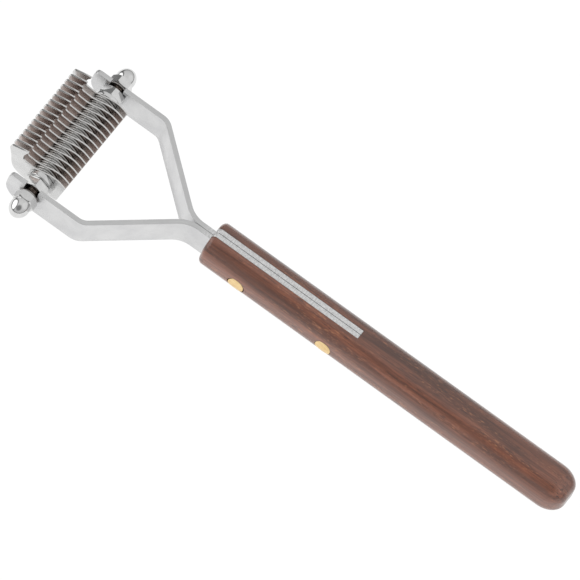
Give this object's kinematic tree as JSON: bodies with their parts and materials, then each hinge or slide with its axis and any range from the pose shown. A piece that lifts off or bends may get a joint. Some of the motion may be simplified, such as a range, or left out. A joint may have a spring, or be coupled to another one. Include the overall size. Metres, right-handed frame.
{
  "type": "coat stripper",
  "caption": "Pet coat stripper: a clamped stack of hooked steel blades on a threaded axle between two bent arms, riveted into a walnut handle.",
  "frame": {"origin": "on the table, under the middle of the tool's length and width as it lies on its back", "axes": "+X along the handle towards its butt, +Y along the axle towards the far arm, +Z towards the side that the hooks point to and the axle slots open on"},
  "size_m": [0.1868, 0.0618, 0.0141],
  "materials": {
    "walnut": "satin oiled dark walnut with open pores",
    "strip_steel": "smooth satin faces with finely brushed edges",
    "hardware_steel": "bright polished",
    "rod_steel": "rolled thread, slightly dark",
    "blade_steel": "tempered face with bright ground edges",
    "brass": "sanded flush with the wood"
  },
  "bodies": {
    "fork": {"handle": "walnut", "arm_far": "strip_steel", "arm_near": "strip_steel", "rivet_1": "brass", "rivet_2": "brass"},
    "axle": {"axle_rod": "rod_steel"},
    "blade_head": {"blade_01": "blade_steel", "blade_02": "blade_steel", "blade_03": "blade_steel", "blade_04": "blade_steel", "blade_05": "blade_steel", "blade_06": "blade_steel", "blade_07": "blade_steel", "blade_08": "blade_steel", "blade_09": "blade_steel", "blade_10": "blade_steel", "blade_11": "blade_steel", "blade_12": "blade_steel", "blade_13": "blade_steel", "blade_14": "blade_steel", "blade_15": "blade_steel", "blade_16": "blade_steel", "spacer_01a": "hardware_steel", "spacer_01b": "hardware_steel", "spacer_02a": "hardware_steel", "spacer_02b": "hardware_steel", "spacer_03a": "hardware_steel", "spacer_03b": "hardware_steel", "spacer_04a": "hardware_steel", "spacer_04b": "hardware_steel", "spacer_05a": "hardware_steel", "spacer_05b": "hardware_steel", "spacer_06a": "hardware_steel", "spacer_06b": "hardware_steel", "spacer_07a": "hardware_steel", "spacer_07b": "hardware_steel", "spacer_08a": "hardware_steel", "spacer_08b": "hardware_steel", "spacer_09a": "hardware_steel", "spacer_09b": "hardware_steel", "spacer_10a": "hardware_steel", "spacer_10b": "hardware_steel", "spacer_11a": "hardware_steel", "spacer_11b": "hardware_steel", "spacer_12a": "hardware_steel", "spacer_12b": "hardware_steel", "spacer_13a": "hardware_steel", "spacer_13b": "hardware_steel", "spacer_14a": "hardware_steel", "spacer_14b": "hardware_steel", "spacer_15a": "hardware_steel", "spacer_15b": "hardware_steel", "end_washer_near": "hardware_steel", "end_washer_far": "hardware_steel", "inner_nut_near": "hardware_steel", "inner_nut_far": "hardware_steel"},
    "near_washer": {"outer_washer_near": "hardware_steel"},
    "near_cap": {"cap_nut_near": "hardware_steel"},
    "far_washer": {"outer_washer_far": "hardware_steel"},
    "far_cap": {"cap_nut_far": "hardware_steel"}
  },
  "joints": [
    {"name": "axle_lift", "type": "slide", "parent": "fork", "child": "axle", "axis": [0, 0, 1], "range_m": [0, 0.015]},
    {"name": "head_turn", "type": "hinge", "parent": "axle", "child": "blade_head", "pos_m": [-0.0809, 0, 0.0055], "axis": [0, 1, 0], "continuous": true},
    {"name": "near_travel", "type": "slide", "parent": "axle", "child": "near_washer", "axis": [0, -1, 0], "range_m": [0, 0.0035]},
    {"name": "near_turn", "type": "hinge", "parent": "near_washer", "child": "near_cap", "pos_m": [-0.0809, 0, 0.0055], "axis": [0, -1, 0], "range_deg": [0, 1801]},
    {"name": "far_travel", "type": "slide", "parent": "axle", "child": "far_washer", "axis": [0, 1, 0], "range_m": [0, 0.0035]},
    {"name": "far_turn", "type": "hinge", "parent": "far_washer", "child": "far_cap", "pos_m": [-0.0809, 0, 0.0055], "axis": [0, 1, 0], "range_deg": [0, 1801]}
  ],
  "couplings": [
    {"joint": "near_turn", "follows": "near_travel", "rad_per_m": 8976},
    {"joint": "far_turn", "follows": "far_travel", "rad_per_m": 8976}
  ]
}
